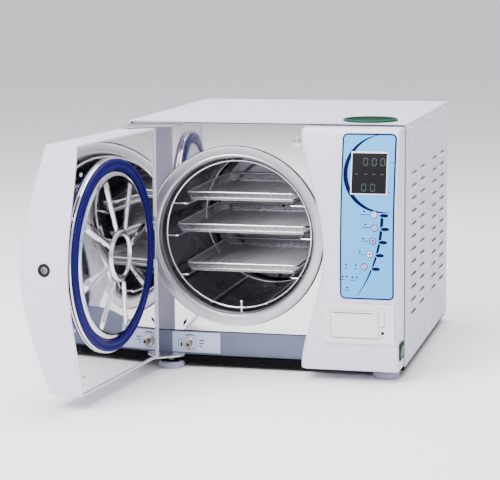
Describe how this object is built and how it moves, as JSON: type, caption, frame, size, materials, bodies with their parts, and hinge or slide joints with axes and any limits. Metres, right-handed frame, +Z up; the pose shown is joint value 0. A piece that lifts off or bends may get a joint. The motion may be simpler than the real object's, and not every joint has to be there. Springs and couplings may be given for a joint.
{
  "type": "benchtop autoclave",
  "caption": "Benchtop steam autoclave with a round front-loading chamber, a side-hinged door standing open, sliding trays and a curved control fascia with a strip printer.",
  "frame": {"origin": "centre of the front left levelling foot's underside, on the table", "axes": "+X to the user's right along the front, +Y to the back of the cabinet, +Z up"},
  "size_m": [0.5027, 0.8256, 0.4008],
  "materials": {
    "cover_paint": "light grey textured powder coat",
    "white_moulding": "smooth off-white moulding",
    "mirror_steel": "polished stainless steel",
    "brushed_steel": "satin stainless steel",
    "dark_steel": "black painted steel",
    "strip_paint": "grey-blue paint",
    "overlay_blue": "light blue membrane film",
    "silicone_blue": "dark blue silicone",
    "black_plastic": "black moulding",
    "screen": "smoked display window",
    "green_plastic": "dark green moulding",
    "label_white": "pale printed label",
    "brass": "nickel-tinted brass",
    "foot_grey": "grey rubber",
    "tank_plastic": "milky polythene",
    "insulation": "mineral wool lagging",
    "circuit_green": "circuit board",
    "paper": "thermal paper",
    "button_grey": "grey-mauve keys"
  },
  "bodies": {
    "cabinet": {"base_pan": "dark_steel", "outer_cover": "cover_paint", "rear_panel": "cover_paint", "front_plate": "mirror_steel", "lower_trim_strip": "strip_paint", "valve_label_plate": "label_white", "chamber_flange": "brushed_steel", "chamber_vessel": "brushed_steel", "vessel_lagging": "insulation", "vessel_saddle": "dark_steel", "temperature_probe": "brushed_steel", "wire_rack": "brushed_steel", "drain_valve_body": "brushed_steel", "hinge_plate_upper": "brushed_steel", "hinge_plate_lower": "brushed_steel", "control_fascia": "white_moulding", "membrane_overlay": "overlay_blue", "display_window": "screen", "printer_surround": "white_moulding", "switch_bezel": "black_plastic", "lock_actuator": "dark_steel", "door_switch": "brushed_steel", "clean_water_tank": "tank_plastic", "waste_water_tank": "tank_plastic", "vacuum_pump": "dark_steel", "steam_generator": "brushed_steel", "valve_manifold": "brass", "fan_housing": "black_plastic", "control_board": "circuit_green", "power_inlet": "black_plastic", "safety_valve": "brass", "foot_rear_left": "foot_grey", "foot_rear_right": "foot_grey"},
    "door": {"door_shell": "white_moulding", "door_mirror_plate": "mirror_steel", "pressure_disc": "mirror_steel", "door_gasket": "silicone_blue", "disc_spindle": "brushed_steel", "lock_socket": "black_plastic"},
    "upper_tray": {"tray_upper": "brushed_steel"},
    "middle_tray": {"tray_middle": "brushed_steel"},
    "lower_tray": {"tray_lower": "brushed_steel"},
    "drain_nozzle": {"drain_valve_nozzle": "brass"},
    "button_1": {"key_1": "button_grey"},
    "button_2": {"key_2": "button_grey"},
    "button_3": {"key_3": "button_grey"},
    "button_4": {"key_4": "button_grey"},
    "button_5": {"key_5": "button_grey"},
    "paper_flap": {"printer_flap": "white_moulding"},
    "release_lever": {"flap_release_lever": "white_moulding"},
    "feed_button": {"paper_feed_key": "black_plastic"},
    "roll": {"paper_roll": "paper"},
    "platen": {"printer_platen": "black_plastic"},
    "rocker": {"power_rocker": "green_plastic"},
    "bolt": {"lock_bolt": "brushed_steel"},
    "cap": {"filler_cap": "green_plastic"},
    "rotor": {"fan_rotor": "black_plastic"},
    "left_levelling_foot": {"foot_front_left": "foot_grey"},
    "right_levelling_foot": {"foot_front_right": "foot_grey"}
  },
  "joints": [
    {"name": "door_hinge", "type": "hinge", "parent": "cabinet", "child": "door", "pos_m": [-0.0515, -0.044, 0.214], "axis": [0, 0, -1], "range_deg": [-96.06, 15]},
    {"name": "upper_tray_slide", "type": "slide", "parent": "cabinet", "child": "upper_tray", "axis": [0, -1, 0], "range_m": [0, 0.25]},
    {"name": "middle_tray_slide", "type": "slide", "parent": "cabinet", "child": "middle_tray", "axis": [0, -1, 0], "range_m": [0, 0.25]},
    {"name": "lower_tray_slide", "type": "slide", "parent": "cabinet", "child": "lower_tray", "axis": [0, -1, 0], "range_m": [0, 0.25]},
    {"name": "drain_nozzle_turn", "type": "hinge", "parent": "cabinet", "child": "drain_nozzle", "pos_m": [0.029, 0, 0.0375], "axis": [0, -1, 0], "range_deg": [0, 90]},
    {"name": "button_1_press", "type": "slide", "parent": "cabinet", "child": "button_1", "axis": [0, 1, 0], "range_m": [0, 0.0012], "stiffness_N_per_m": 300},
    {"name": "button_2_press", "type": "slide", "parent": "cabinet", "child": "button_2", "axis": [0, 1, 0], "range_m": [0, 0.0012], "stiffness_N_per_m": 300},
    {"name": "button_3_press", "type": "slide", "parent": "cabinet", "child": "button_3", "axis": [0, 1, 0], "range_m": [0, 0.0012], "stiffness_N_per_m": 300},
    {"name": "button_4_press", "type": "slide", "parent": "cabinet", "child": "button_4", "axis": [0, 1, 0], "range_m": [0, 0.0012], "stiffness_N_per_m": 300},
    {"name": "button_5_press", "type": "slide", "parent": "cabinet", "child": "button_5", "axis": [0, 1, 0], "range_m": [0, 0.0012], "stiffness_N_per_m": 300},
    {"name": "paper_flap_hinge", "type": "hinge", "parent": "cabinet", "child": "paper_flap", "pos_m": [0.313, -0.06666, 0.0759], "axis": [1, 0, 0], "range_deg": [0, 80]},
    {"name": "release_lever_hinge", "type": "hinge", "parent": "cabinet", "child": "release_lever", "pos_m": [0.356, -0.06997, 0.0954], "axis": [1, 0, 0], "range_deg": [0, 10], "stiffness_Nm_per_rad": 0.01, "springref_deg": -5.73},
    {"name": "feed_button_press", "type": "slide", "parent": "cabinet", "child": "feed_button", "axis": [0, 1, 0], "range_m": [0, 0.001], "stiffness_N_per_m": 200},
    {"name": "roll_spin", "type": "hinge", "parent": "cabinet", "child": "roll", "pos_m": [0.3135, -0.038, 0.092], "axis": [1, 0, 0], "continuous": true},
    {"name": "platen_spin", "type": "hinge", "parent": "cabinet", "child": "platen", "pos_m": [0.3135, -0.059, 0.1125], "axis": [1, 0, 0], "continuous": true},
    {"name": "rocker_tilt", "type": "hinge", "parent": "cabinet", "child": "rocker", "pos_m": [0.3745, -0.033, 0.05], "axis": [0, 1, 0], "range_deg": [-6, 6]},
    {"name": "lock_bolt_slide", "type": "slide", "parent": "cabinet", "child": "bolt", "axis": [-1, 0, 0], "range_m": [0, 0.01]},
    {"name": "filler_cap_lift", "type": "slide", "parent": "cabinet", "child": "cap", "axis": [0, 0, 1], "range_m": [0, 0.04]},
    {"name": "fan_spin", "type": "hinge", "parent": "cabinet", "child": "rotor", "pos_m": [0.313, 0.45, 0.325], "axis": [0, 1, 0], "continuous": true},
    {"name": "left_foot_turn", "type": "hinge", "parent": "cabinet", "child": "left_levelling_foot", "pos_m": [0, 0, 0], "axis": [0, 0, 1], "range_deg": [-180, 180]},
    {"name": "right_foot_turn", "type": "hinge", "parent": "cabinet", "child": "right_levelling_foot", "pos_m": [0.351, 0, 0], "axis": [0, 0, 1], "range_deg": [-180, 180]}
  ]
}
